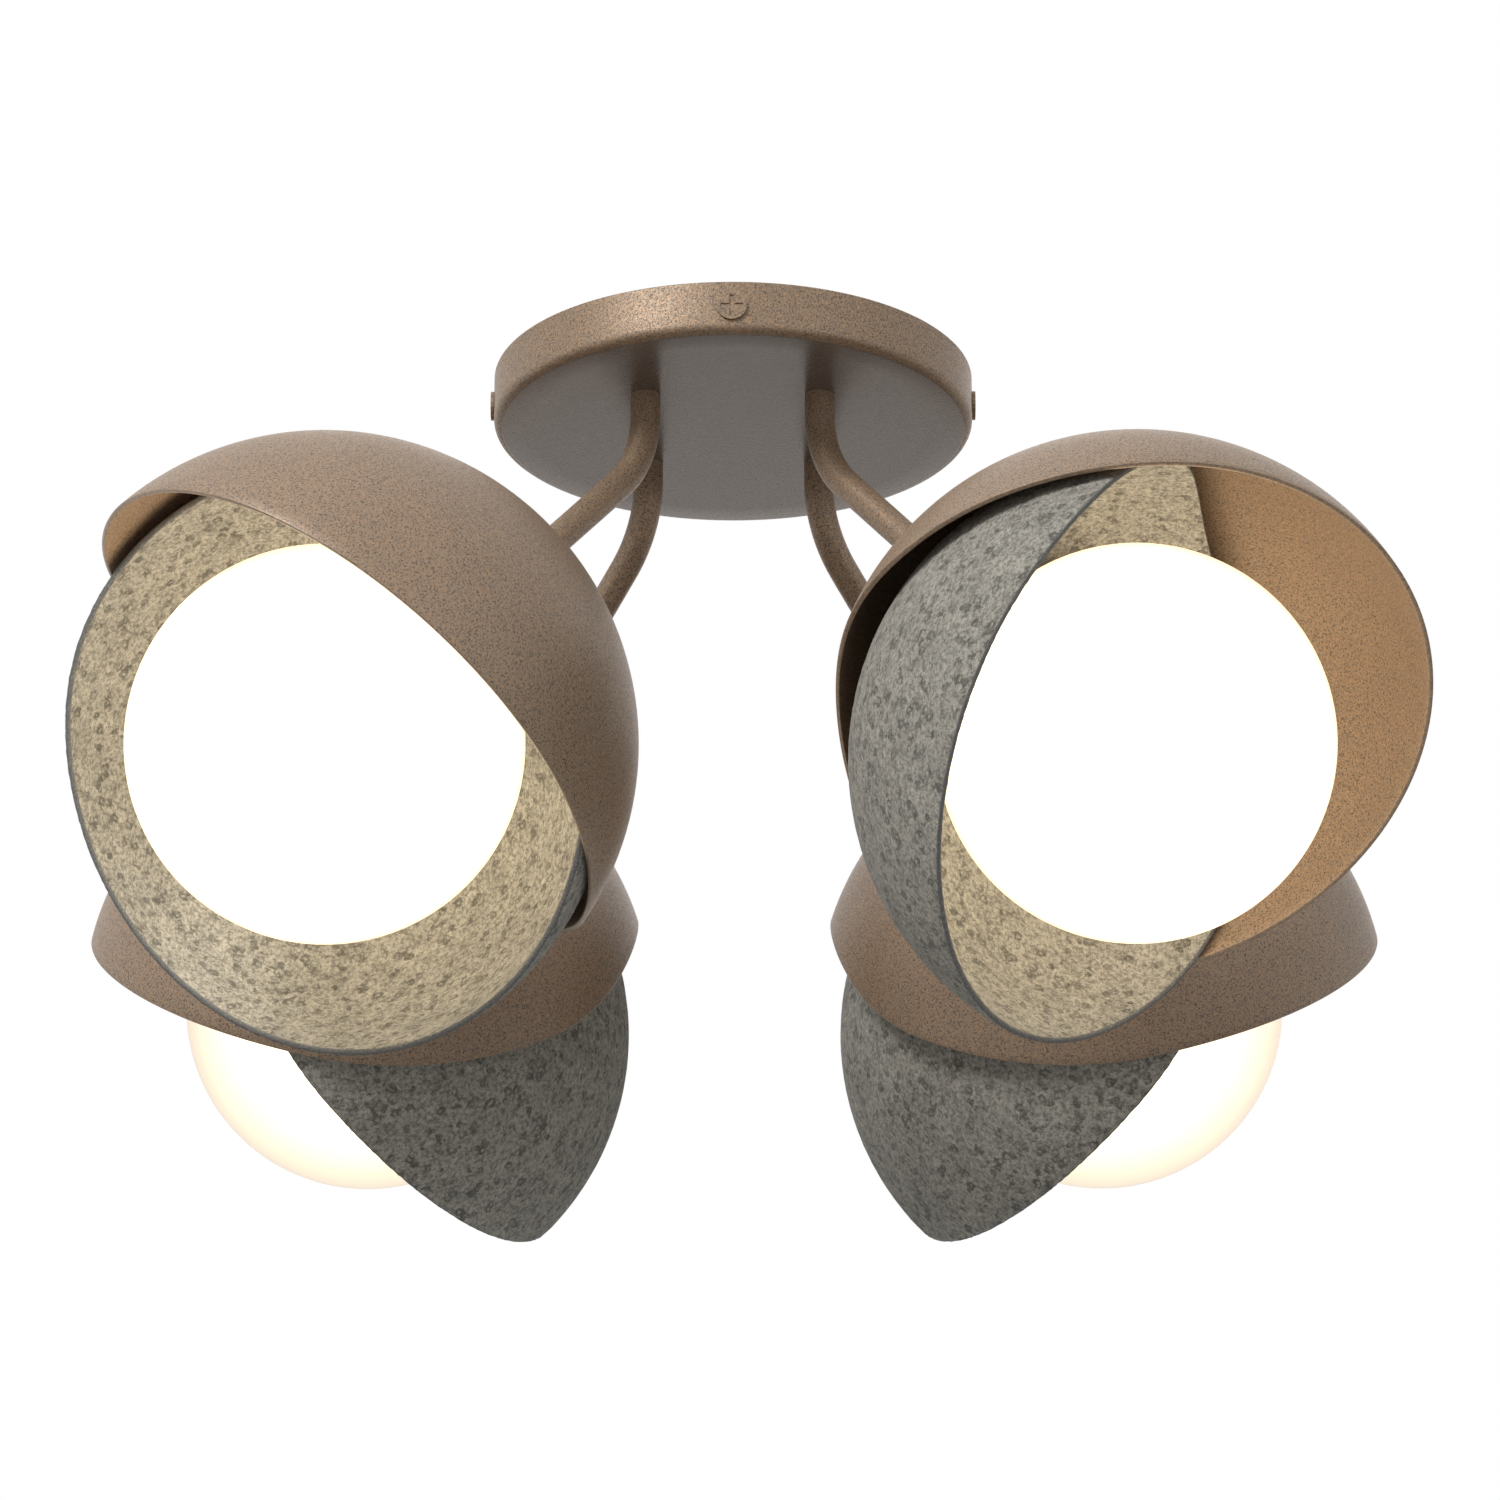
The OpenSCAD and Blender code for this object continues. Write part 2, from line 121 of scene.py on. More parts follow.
class CanopySettings(bpy.types.PropertyGroup):
    diameter: length("Diameter", "Outside diameter of the canopy", 0.206)
    height: length("Height", "Height of the canopy", 0.023)
    wall: length("Wall", "Sheet thickness of the canopy", 0.0016)
    edge: length("Edge radius", "Radius of the lower outside edge", 0.004)


class ArmSettings(bpy.types.PropertyGroup):
    tube: length("Tube", "Outside diameter of the arm tube", 0.0127)
    bore: length("Bore", "Inside diameter of the arm tube", 0.0101)
    spread: length("Spread", "Distance from the middle to each arm's upper end", 0.0524)
    bend: length("Bend radius", "Radius of the bend, to the tube's middle", 0.052)
    gap: length("Gap", "Gap between the arm's end and its metal bowl", 0.0001)


class BowlSettings(bpy.types.PropertyGroup):
    outer_radius: length("Metal radius", "Outside radius of the metal bowl", 0.1253)
    outer_wall: length("Metal wall", "Sheet thickness of the metal bowl", 0.002)
    outer_seat: length("Metal seat", "Radius of the metal bowl's flat seat", 0.013)
    outer_hole: length("Metal hole", "Radius of the metal bowl's hole", 0.00508)
    felt_radius: length("Felt radius", "Outside radius of the felt bowl", 0.1226)
    felt_wall: length("Felt thickness", "Thickness of the felt", 0.003)
    felt_seat: length("Felt seat", "Radius of the felt bowl's flat seat", 0.0165)
    felt_hole: length("Felt hole", "Radius of the felt bowl's hole", 0.00705)
    felt_shift: length("Felt shift", "Distance of the felt bowl's centre beyond the globe's",
                       0.0147)
    rim_tilt: turn("Rim tilt", "Slope of the straight part of the rim", 20)
    rim_height: place("Rim height", "Height of the rim's line where it passes the axis", -0.012)
    sweep_start: length("Sweep start", "Distance from the axis to the start of the sweep", 0.0246)
    sweep_radius: length("Sweep radius", "Radius of the long sweep", 0.316)
    sweep_turn: turn("Sweep turn", "Angle through which the long sweep turns", 19)
    low_radius: length("Low sweep radius", "Radius of the tight sweep at the low side", 0.052)


class GlobeSettings(bpy.types.PropertyGroup):
    diameter: length("Diameter", "Outside diameter of the glass globe", 0.16)
    glass: length("Glass", "Thickness of the glass", 0.003)
    neck: length("Neck", "Outside diameter of the neck", 0.062)
    neck_length: length("Neck length", "Length of the neck below the sphere", 0.012)


class FinishSettings(bpy.types.PropertyGroup):
    bronze: colour("Bronze", "Main colour of the speckled bronze", (0.37, 0.265, 0.182))
    tube: colour("Tube", "Main colour of the arms and the canopy's side", (0.32, 0.23, 0.155))
    bronze_dark: colour("Bronze speckle", "Colour of the dark speckle", (0.13, 0.095, 0.07))
    # The canopy floor's colour is the bronze darkened and greyed: painted shade
    canopy: colour("Canopy", "Colour of the smooth canopy floor", (0.22, 0.185, 0.16))
    felt: colour("Felt", "Light colour of the felt", (0.58, 0.548, 0.478))
    felt_dark: colour("Felt spots", "Colour of the darker spots in the felt", (0.1, 0.095, 0.08))
    # The cut edge's darker grey is painted shade
    shaded_felt_edge: colour("Felt edge", "Colour of the felt's cut edge", (0.25, 0.248, 0.24))
    glow: colour("Glow", "Colour of the light that the globes give", (1.0, 0.87, 0.66))
    limb: colour("Limb", "Colour of the front globes' edges", (0.6, 0.46, 0.3))
    # The back globes' dimmer edge colour is painted shade
    shaded_far_limb: colour("Far limb", "Colour of the back globes' edges", (0.215, 0.168, 0.12))


class StageSettings(bpy.types.PropertyGroup):
    lens: bpy.props.FloatProperty(name="Lens", description="Focal length of the camera in mm",
                                  default=170.3, min=10)
    camera: bpy.props.FloatVectorProperty(name="Camera", description="Place of the camera",
                                          default=(0.0154, -2.8036, -1.2478), subtype="XYZ")
    pitch: turn("Pitch", "Angle by which the camera looks up", 21.02)
    yaw: turn("Yaw", "Angle by which the camera turns left", 0.166)
    ambient: bpy.props.FloatProperty(name="Ambient", description="Strength of the soft light",
                                     default=0.27, min=0)


def settings(name):
    return getattr(bpy.context.scene, "ceiling_light_" + name)


# Meshes

def finish_piece(bm, name, node, body, finishes, sharp=SHARP):
    """Makes an object of a bmesh, smooth but for edges sharper than an angle, and lets it ride."""
    mesh = bpy.data.meshes.new(name)
    for face in bm.faces:
        face.smooth = True
    for edge in bm.edges:
        edge.smooth = edge.calc_face_angle(math.pi) < math.radians(sharp)
    bm.to_mesh(mesh)
    bm.free()
    piece = bpy.data.objects.new(name, mesh)
    bpy.context.scene.collection.objects.link(piece)
    for material in finishes:
        mesh.materials.append(material)
    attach(piece, body)
    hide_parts(node)


def spin_outline(bm, points, steps, closed):
    """Turns an outline of (radius, height) points into a round body about Z."""
    verts = [bm.verts.new((r, 0, z)) for r, z in points]
    pairs = list(zip(verts, verts[1:]))
    if closed:
        pairs.append((verts[-1], verts[0]))
    edges = [bm.edges.new(pair) for pair in pairs]
    bmesh.ops.spin(bm, geom=verts + edges, cent=(0, 0, 0), axis=(0, 0, 1),
                   angle=2 * math.pi, steps=steps, use_merge=True)
    bmesh.ops.remove_doubles(bm, verts=bm.verts, dist=1e-6)
    bmesh.ops.recalc_face_normals(bm, faces=bm.faces)


def arc(radius, start, end, steps, centre=(0, 0)):
    """Points on an arc about a centre, from one angle to another."""
    points = []
    for k in range(steps + 1):
        a = start + (end - start) * k / steps
        points.append((centre[0] + radius * math.cos(a), centre[1] + radius * math.sin(a)))
    return points


def line(start, end, steps):
    """Points between two ends, both left out."""
    return [tuple(Vector(start).lerp(Vector(end), k / steps)) for k in range(1, steps)]


def head_joint(head):
    return next(j for j in frame["joints"] if j["name"] == "outer_turn_" + head)


def head_frame(head):
    """Matrix whose Z is the arm's axis, with its origin at the globe's centre."""
    joint = head_joint(head)
    axis = Vector(joint["axis"]).normalized()
    low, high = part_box("globe_" + head)
    reach = settings("globe").diameter / 2
    # The sphere reaches furthest out of the box on the sides away from the arm
    centre = Vector(
        (low if axis[i] < 0 else high)[i] + math.copysign(reach, -axis[i]) for i in range(3))
    up = (UP - axis * UP.dot(axis)).normalized()
    side = axis.cross(up)
    turned = Matrix((-up, -side, axis)).transposed().to_4x4()
    return Matrix.Translation(centre) @ turned


class Rim:
    """Where the rim of a bowl runs: straight from the high side, then in two sweeps."""

    def __init__(self, s):
        tilt = s.rim_tilt
        self.tilt = tilt
        self.height = s.rim_height
        self.start = Vector((s.sweep_start, s.rim_height + s.sweep_start * math.tan(tilt)))
        self.long = s.sweep_radius
        self.short = s.low_radius
        down = Vector((math.sin(tilt), -math.cos(tilt)))
        self.middle = self.start + down * self.long
        end = tilt + s.sweep_turn
        down = Vector((math.sin(end), -math.cos(end)))
        self.end = self.middle - down * self.long
        self.low_middle = self.end + down * self.short

    def top(self, x):
        """Height of the rim's line at a distance x towards the high side."""
        if x >= self.start.x:
            return self.height + x * math.tan(self.tilt)
        if x >= self.end.x:
            return self.middle.y + math.sqrt(self.long ** 2 - (x - self.middle.x) ** 2)
        side = self.short ** 2 - (x - self.low_middle.x) ** 2
        return self.low_middle.y + math.sqrt(side) if side > 0 else -1

    def reach(self, radius, azimuth):
        """Angle from the pole at which a bowl of this radius meets the rim."""
        low, high = RIM_LIMITS
        for _ in range(HALVINGS):
            angle = (low + high) / 2
            x = radius * math.sin(angle) * math.cos(azimuth)
            if -radius * math.cos(angle) <= self.top(x):
                low = angle
            else:
                high = angle
        return low


def bowl_outline(radius, wall, seat, hole, reach, rounding, steps):
    """Closed section of a bowl's wall, with a flat seat at its pole and a rounded rim."""
    seat_z = -math.sqrt(radius ** 2 - seat ** 2)
    inside = radius - wall
    inside_seat = math.sqrt(inside ** 2 - (seat_z + wall) ** 2)
    start = math.atan2(seat_z, seat)
    inside_start = math.atan2(seat_z + wall, inside_seat)
    top = reach - math.pi / 2
    back = rounding / radius
    points = [(hole, seat_z)] + line((hole, seat_z), (seat, seat_z), 3)
    points += arc(radius, start, top - back, steps)
    for k in range(1, LIP_STEPS):
        a = math.pi * k / LIP_STEPS
        deep = wall / 2 * (1 - math.cos(a))
        on = top - back * (1 - math.sin(a))
        points.append(((radius - deep) * math.cos(on), (radius - deep) * math.sin(on)))
    points += arc(inside, top - back, inside_start, steps)
    points += line((inside_seat, seat_z + wall), (hole, seat_z + wall), 3)
    points.append((hole, seat_z + wall))
    return points


def shape_rim(bm, rim, seat_angle, reach, rounding, radius):
    """Slides the points of a round bowl along it until its edge lies on the rim."""
    # The lip keeps its shape, and the rest is stretched
    zone = 2 * rounding / radius
    known = {}
    for vert in bm.verts:
        r = vert.co.length
        angle = math.acos(-vert.co.z / r)
        if angle <= seat_angle:
            continue
        azimuth = math.atan2(vert.co.y, vert.co.x)
        key = (round(r, 6), round(azimuth, 5))
        if key not in known:
            known[key] = rim.reach(r, azimuth)
        edge = known[key]
        if angle > reach - zone:
            angle = edge - (reach - angle)
        else:
            angle = seat_angle + (angle - seat_angle) * (edge - zone - seat_angle) / (
                reach - zone - seat_angle)
        flat = r * math.sin(angle)
        vert.co = (flat * math.cos(azimuth), flat * math.sin(azimuth), -r * math.cos(angle))


def bowl(radius, wall, seat, hole, rounding, steps, turns):
    """A bowl about the origin, open towards +Z, with its high side at +X. Its edge has slot 1."""
    reach = ROUND_REACH
    bm = bmesh.new()
    outline = bowl_outline(radius, wall, seat, hole, reach, rounding, steps)
    spin_outline(bm, outline, turns, closed=True)
    # The cut edge starts just behind the lip's rounding
    cut = -math.cos(reach - 1.1 * rounding / radius)
    for face in bm.faces:
        face.material_index = int(min(v.co.z / v.co.length for v in face.verts) > cut)
    seat_angle = math.asin(seat / (radius - wall))
    shape_rim(bm, Rim(settings("bowl")), seat_angle, reach, rounding, radius)
    return bm


# Materials

class Nodes:
    """A short way to write a node material on Object coordinates."""

    def __init__(self, name):
        self.material = bpy.data.materials.new(name)
        self.material.use_nodes = True
        self.tree = self.material.node_tree
        self.shader = self.tree.nodes["Principled BSDF"]
        self.place = self.tree.nodes.new("ShaderNodeTexCoord").outputs["Object"]

    def add(self, kind, links=None, **values):
        """A node of a kind, with links into its inputs and values for settings or inputs."""
        node = self.tree.nodes.new(kind)
        for key, value in values.items():
            if hasattr(node, key):
                setattr(node, key, value)
            else:
                node.inputs[key.replace("_", " ")].default_value = value
        for key, source in (links or {}).items():
            self.tree.links.new(source, node.inputs[key])
        return node

    def noise(self, scale, detail=2.0, roughness=0.5, distortion=0.0, place=None):
        node = self.add("ShaderNodeTexNoise", {"Vector": place or self.place}, Scale=scale,
                        Detail=detail, Roughness=roughness, Distortion=distortion)
        return node.outputs["Fac"]

    def stretched(self, turns, scale):
        """Coordinates turned and stretched, for fibres that lie one way."""
        node = self.add("ShaderNodeMapping", {"Vector": self.place})
        node.inputs["Rotation"].default_value = [math.radians(a) for a in turns]
        node.inputs["Scale"].default_value = scale
        return node.outputs["Vector"]

    def ramp(self, source, *stops):
        """Turns a value into grey by stops of (position, grey)."""
        node = self.add("ShaderNodeValToRGB", {"Fac": source})
        ramp = node.color_ramp
        while len(ramp.elements) < len(stops):
            ramp.elements.new(1.0)
        for element, (where, value) in zip(ramp.elements, stops):
            element.position = where
            element.color = (value, value, value, 1)
        return node.outputs["Color"]

    def mix(self, factor, first, second):
        """Mixes two colours, each a socket or a plain colour."""
        node = self.add("ShaderNodeMix", data_type="RGBA")
        for socket, value in ((node.inputs[0], factor), (node.inputs[6], first),
                              (node.inputs[7], second)):
            if isinstance(value, bpy.types.NodeSocket):
                self.tree.links.new(value, socket)
            else:
                socket.default_value = (*value, 1)
        return node.outputs[2]

    def math(self, operation, first, second):
        """Joins two values, each a socket or a plain number."""
        node = self.add("ShaderNodeMath", operation=operation)
        for socket, value in zip(node.inputs, (first, second)):
            if isinstance(value, bpy.types.NodeSocket):
                self.tree.links.new(value, socket)
            else:
                socket.default_value = value
        return node.outputs[0]

    def bump(self, height, strength, distance, under=None):
        links = {"Height": height}
        if under:
            links["Normal"] = under
        node = self.add("ShaderNodeBump", links, Strength=strength, Distance=distance)
        return node.outputs["Normal"]

    def connect(self, **sockets):
        for key, source in sockets.items():
            self.tree.links.new(source, self.shader.inputs[key.replace("_", " ")])

    def set(self, **sockets):
        for key, value in sockets.items():
            self.shader.inputs[key.replace("_", " ")].default_value = value


def speckled_bronze(name, base, dark, metallic=0.12):
    """Powder coat: warm brown grains, dark grains between them and a soft sheen."""
    n = Nodes(name)
    grains = n.noise(1250, 2.0, 0.75)
    warm = n.noise(900, 2.0, 0.6)
    clouds = n.noise(14, 3.0)
    body = n.mix(n.ramp(clouds, (0.3, 0.0), (0.7, 1.0)), [c * 0.93 for c in base],
                 [min(c * 1.07, 1) for c in base])
    copper = n.mix(n.ramp(warm, (0.48, 0.0), (0.66, 0.65)), body, (0.56, 0.33, 0.17))
    specks = n.ramp(grains, (0.38, 1.0), (0.5, 0.0))
    n.connect(Base_Color=n.mix(specks, copper, dark))
    n.connect(Roughness=n.ramp(grains, (0.3, 0.56), (0.7, 0.38)))
    n.connect(Normal=n.bump(grains, 0.22, 0.0004))
    n.set(Metallic=metallic, Specular_IOR_Level=0.55)
    return n.material


def cut_bronze(name, base):
    """The bowl's cut edge, which the coat covers thinly, so it shines a little."""
    n = Nodes(name)
    grain = n.noise(900, 2.0, 0.6)
    n.connect(Base_Color=n.mix(n.ramp(grain, (0.35, 0.0), (0.6, 1.0)), [c * 0.75 for c in base],
                               [min(c * 1.2, 1) for c in base]))
    n.connect(Normal=n.bump(grain, 0.15, 0.0003))
    n.set(Metallic=0.2, Roughness=0.3)
    return n.material


def shaded_canopy_bronze(name, base):
    """The canopy's floor: the bronze darkened and greyed as painted shade, with a fine grain and real blurred
    reflections.
    """
    n = Nodes(name)
    grain = n.noise(1100, 2.0, 0.6)
    body = n.mix(n.ramp(grain, (0.35, 0.0), (0.65, 1.0)), [c * 0.9 for c in base],
                 [min(c * 1.09, 1) for c in base])
    n.connect(Base_Color=body)
    n.connect(Roughness=n.ramp(grain, (0.3, 0.3), (0.7, 0.22)))
    n.connect(Normal=n.bump(grain, 0.1, 0.0003))
    n.set(Metallic=0.6, Specular_IOR_Level=0.5)
    return n.material


def wool_felt(name, base, dark):
    """Pressed wool: short fibres both ways, fine mottling and soft darker rings."""
    n = Nodes(name)
    fibres_a = n.noise(330, 4.0, 0.75, 0.8, n.stretched((20, 35, 40), (1, 4, 1)))
    fibres_b = n.noise(300, 4.0, 0.75, 0.8, n.stretched((-25, 60, -30), (4, 1, 1)))
    fibres = n.math("MAXIMUM", fibres_a, fibres_b)
    # A fine noise shifts the cells a little, so that no ring is a plain circle
    wobble = n.add("ShaderNodeMix", data_type="VECTOR", factor_mode="UNIFORM")
    wobble.inputs[0].default_value = 0.0045
    cloud = n.add("ShaderNodeTexNoise", {"Vector": n.place}, Scale=480.0, Detail=3.0)
    n.tree.links.new(n.place, wobble.inputs[4])
    n.tree.links.new(cloud.outputs["Color"], wobble.inputs[5])
    cells = n.add("ShaderNodeTexVoronoi", {"Vector": wobble.outputs[1]}, Scale=185.0)
    rings = n.ramp(cells.outputs["Distance"], (0.1, 0.05), (0.25, 1.0), (0.34, 1.0), (0.46, 0.0))
    patches = n.ramp(n.noise(150, 3.0), (0.36, 0.1), (0.58, 1.0))
    spots = n.math("MULTIPLY", rings, patches)
    mottle = n.ramp(n.noise(560, 4.0, 0.8), (0.4, 1.0), (0.54, 0.0))
    drift = n.ramp(n.noise(70, 3.0, 0.6), (0.3, 0.0), (0.7, 1.0))
    pale = n.mix(drift, [c * 0.88 for c in base], [min(c * 1.12, 1) for c in base])
    threads = n.mix(n.ramp(fibres, (0.4, 0.6), (0.6, 0.0)), pale, dark)
    specks = n.mix(n.math("MULTIPLY", mottle, 0.62), threads, dark)
    n.connect(Base_Color=n.mix(n.math("MULTIPLY", spots, 0.78), specks, dark))
    fuzz = n.bump(fibres, 0.8, 0.0007)
    n.connect(Normal=n.bump(n.noise(900, 3.0), 0.5, 0.0004, fuzz))
    n.set(Roughness=0.95, Specular_IOR_Level=0.1, Sheen_Weight=0.15, Sheen_Roughness=0.6)
    return n.material


def cut_felt(name, base):
    """The felt's cut edge: darker and greyer as painted shade, with the felt's own paler fibre ends."""
    n = Nodes(name)
    ends = n.ramp(n.noise(900, 4.0, 0.8), (0.45, 0.0), (0.65, 1.0))
    n.connect(Base_Color=n.mix(ends, base, [min(c * 1.7, 1) for c in base]))
    n.connect(Normal=n.bump(ends, 0.8, 0.0006))
    n.set(Roughness=0.95, Specular_IOR_Level=0.1)
    return n.material


def opal_glass(name, glow, limb, start, base, gloss):
    """Lit opal glass: white and glossy, warmer where the glass is seen at a slant."""
    n = Nodes(name)
    facing = n.add("ShaderNodeLayerWeight", Blend=0.5).outputs["Facing"]
    slant = n.ramp(facing, (start, 0.0), (0.97, 1.0))
    n.connect(Emission_Color=n.mix(slant, glow, limb))
    n.connect(Normal=n.bump(n.noise(40, 2.0), 0.02, 0.0005))
    n.set(Base_Color=(*base, 1), Roughness=0.25, Specular_IOR_Level=gloss,
          Emission_Strength=1.75)
    return n.material


def plain_metal(name, base, metallic, roughness, scale):
    """Plated or turned metal with fine scratches."""
    n = Nodes(name)
    scratches = n.noise(scale, 3.0, 0.6, 0.0, n.stretched((0, 0, 30), (1, 12, 1)))
    n.connect(Base_Color=n.mix(n.ramp(scratches, (0.3, 0.0), (0.7, 1.0)),
                               [c * 0.85 for c in base], base))
    n.connect(Roughness=n.ramp(scratches, (0.3, roughness + 0.1), (0.7, roughness)))
    n.set(Metallic=metallic)
    return n.material


def moulded(name, base, roughness, scale):
    """Plastic or rubber with a fine moulded grain."""
    n = Nodes(name)
    grain = n.noise(scale, 2.0)
    n.connect(Base_Color=n.mix(grain, [c * 0.93 for c in base], base))
    n.connect(Normal=n.bump(grain, 0.2, 0.0002))
    n.set(Roughness=roughness)
    return n.material


def materials():
    """Every finish by its slot, made once. Their names differ from the frame's own materials."""
    f = settings("finish")
    made = {
        "bronze_speckled": lambda k: speckled_bronze(k, f.tube, f.bronze_dark, 0.3),
        "spun_bronze": lambda k: speckled_bronze(k, f.bronze, f.bronze_dark),
        "cut_bronze": lambda k: cut_bronze(k, f.bronze),
        "bronze_smooth": lambda k: shaded_canopy_bronze(k, f.canopy),
        "felt": lambda k: wool_felt(k, f.felt, f.felt_dark),
        "cut_felt": lambda k: cut_felt(k, f.shaded_felt_edge),
        "opal_glass": lambda k: opal_glass(k, f.glow, f.limb, 0.55, (0.9, 0.88, 0.83), 0.5),
        # The back globes get a darker, dimmer copy of the same glass: painted shade
        "opal_glass_far": lambda k: opal_glass(k, f.glow, f.shaded_far_limb, 0.18,
                                               (0.5, 0.44, 0.36), 0.1),
        "bulb_glass": lambda k: moulded(k, (0.95, 0.93, 0.88), 0.3, 60),
        "white_plastic": lambda k: moulded(k, (0.8, 0.79, 0.75), 0.45, 700),
        "friction_rubber": lambda k: moulded(k, (0.03, 0.03, 0.03), 0.7, 900),
        "brass_parts": lambda k: plain_metal(k, (0.66, 0.47, 0.2), 1.0, 0.3, 400),
        "zinc": lambda k: plain_metal(k, (0.6, 0.61, 0.61), 1.0, 0.35, 300),
        "earth_green": lambda k: plain_metal(k, (0.05, 0.24, 0.08), 0.3, 0.4, 400),
    }
    return {k: bpy.data.materials.get("lit_" + k) or make("lit_" + k) for k, make in made.items()}


# Operators

class CEILINGLIGHT_OT_canopy(bpy.types.Operator):
    """Spins the canopy's dish"""
    bl_idname = "ceilinglight.canopy"
    bl_label = "Canopy"

    def execute(self, context):
        s = settings("canopy")
        made = materials()
        r, h, w, e = s.diameter / 2, s.height, s.wall, s.edge
        lip = w / 4
        floor_r = r - e * 0.8
        bm = bmesh.new()
        points = [(0, -h)] + line((0, -h), (r - e, -h), 8)
        points += arc(e, -math.pi / 2, 0, 8, (r - e, e - h))
        points += line((r, e - h), (r, -lip), 3) + [(r, -lip), (r - lip, 0), (r - w + lip, 0)]
        points += [(r - w, -lip)] + line((r - w, -lip), (r - w, e - h), 3)
        points += arc(e - w, 0, -math.pi / 2, 6, (r - e, e - h))
        points += line((r - e, w - h), (0, w - h), 8) + [(0, w - h)]
        spin_outline(bm, points, CANOPY_ROUND, closed=False)
        # The floor's faces get the darker, greyer bronze, which is painted shade
        for face in bm.faces:
            at = face.calc_center_median()
            if at.z < w / 2 - h and Vector((at.x, at.y)).length < floor_r:
                face.material_index = 1
        finish_piece(bm, "canopy_dish", "canopy", "root",
                     [made["bronze_speckled"], made["bronze_smooth"]])
        return {"FINISHED"}


class CEILINGLIGHT_OT_arms(bpy.types.Operator):
    """Sweeps the four bent arm tubes"""
    bl_idname = "ceilinglight.arms"
    bl_label = "Arms"

    def execute(self, context):
        for head in HEADS:
            self.tube(head, materials()["bronze_speckled"])
        return {"FINISHED"}

    def tube(self, head, material):
        """Two coaxial skins of two straight stretches and a bend, joined at their ends."""
        s, b = settings("arms"), settings("bowl")
        axis = Vector(head_joint(head)["axis"]).normalized()
        out = Vector((axis.x, axis.y, 0)).normalized()
        top = out * s.spread - UP * settings("canopy").height
        globe = head_frame(head).translation
        # The two straight stretches cross where the arm's axis passes the upper stretch
        back = (globe.dot(out) - s.spread) / axis.dot(out)
        corner = globe - axis * back
        lean = axis.angle(-UP)
        take = s.bend * math.tan(lean / 2)
        centre = corner + UP * take + out * s.bend
        seat = math.sqrt(b.outer_radius ** 2 - b.outer_seat ** 2)
        ends = []
        bm = bmesh.new()
        for radius in (s.tube / 2, s.bore / 2):
            made = bmesh.ops.create_circle(bm, cap_ends=False, segments=TUBE_SIDES, radius=radius,
                                           matrix=Matrix.Translation(top))
            first = list({e for v in made["verts"] for e in v.link_edges})
            edges = self.extrude(bm, first, corner + UP * take - top)
            verts = list({v for e in edges for v in e.verts})
            swept = bmesh.ops.spin(bm, geom=verts + edges, cent=centre, axis=out.cross(UP),
                                   angle=lean, steps=BEND_STEPS)
            edges = [g for g in swept["geom_last"] if isinstance(g, bmesh.types.BMEdge)]
            last = self.extrude(bm, edges, axis * (back - take - seat - s.gap))
            ends.append((first, last))
        for k in range(2):
            bmesh.ops.bridge_loops(bm, edges=ends[0][k] + ends[1][k])
        bmesh.ops.recalc_face_normals(bm, faces=bm.faces)
        finish_piece(bm, "arm_tube_" + head, "arm_" + head, "root", [material])

    def extrude(self, bm, edges, path):
        """Draws a ring of edges out along a path and returns the ring at its end."""
        made = bmesh.ops.extrude_edge_only(bm, edges=edges)["geom"]
        verts = [g for g in made if isinstance(g, bmesh.types.BMVert)]
        bmesh.ops.translate(bm, verts=verts, vec=path)
        return [g for g in made if isinstance(g, bmesh.types.BMEdge)
                and all(v in verts for v in g.verts)]


class CEILINGLIGHT_OT_metal_bowls(bpy.types.Operator):
    """Models the four metal bowls"""
    bl_idname = "ceilinglight.metal_bowls"
    bl_label = "Metal Bowls"

    def execute(self, context):
        s = settings("bowl")
        for head in HEADS:
            bm = bowl(s.outer_radius, s.outer_wall, s.outer_seat, s.outer_hole, METAL_LIP,
                      METAL_STEPS, METAL_ROUND)
            where = head_frame(head) @ Matrix.Rotation(math.radians(OUTER_TURNS[head]), 4, "Z")
            bmesh.ops.transform(bm, matrix=where, verts=bm.verts)
            made = materials()
            finish_piece(bm, "metal_bowl_" + head, "outer_shade_" + head, "outer_" + head,
                         [made["spun_bronze"], made["cut_bronze"]])
        return {"FINISHED"}


class CEILINGLIGHT_OT_felt_bowls(bpy.types.Operator):
    """Models the four felt bowls, with the slight unevenness of pressed wool"""
    bl_idname = "ceilinglight.felt_bowls"
    bl_label = "Felt Bowls"

    def execute(self, context):
        s = settings("bowl")
        for k, head in enumerate(HEADS):
            made = materials()
            bm = bowl(s.felt_radius, s.felt_wall, s.felt_seat, s.felt_hole, FELT_LIP,
                      FELT_STEPS, FELT_ROUND)
            self.roughen(bm, s, Vector((k, 0, 0)))
            where = head_frame(head) @ Matrix.Translation((0, 0, s.felt_shift))
            where = where @ Matrix.Rotation(math.radians(FELT_TURNS[head]), 4, "Z")
            bmesh.ops.transform(bm, matrix=where, verts=bm.verts)
            finish_piece(bm, "felt_bowl_" + head, "inner_shade_" + head, "inner_" + head,
                         [made["felt"], made["cut_felt"]], FELT_SHARP)
        return {"FINISHED"}

    def roughen(self, bm, s, offset):
        """Sinks the surface unevenly, so that it stays inside its solid. The edge is rougher."""
        bm.normal_update()
        edge = {v for f in bm.faces if f.material_index for v in f.verts}
        for vert in bm.verts:
            if vert.co.xy.length > s.felt_seat:
                scale, depth = (1400, s.felt_wall / 5) if vert in edge else (
                    260, s.felt_wall / 12)
                lump = 0.5 + 0.5 * noise.noise(vert.co * scale + offset)
                vert.co -= vert.normal * depth * lump


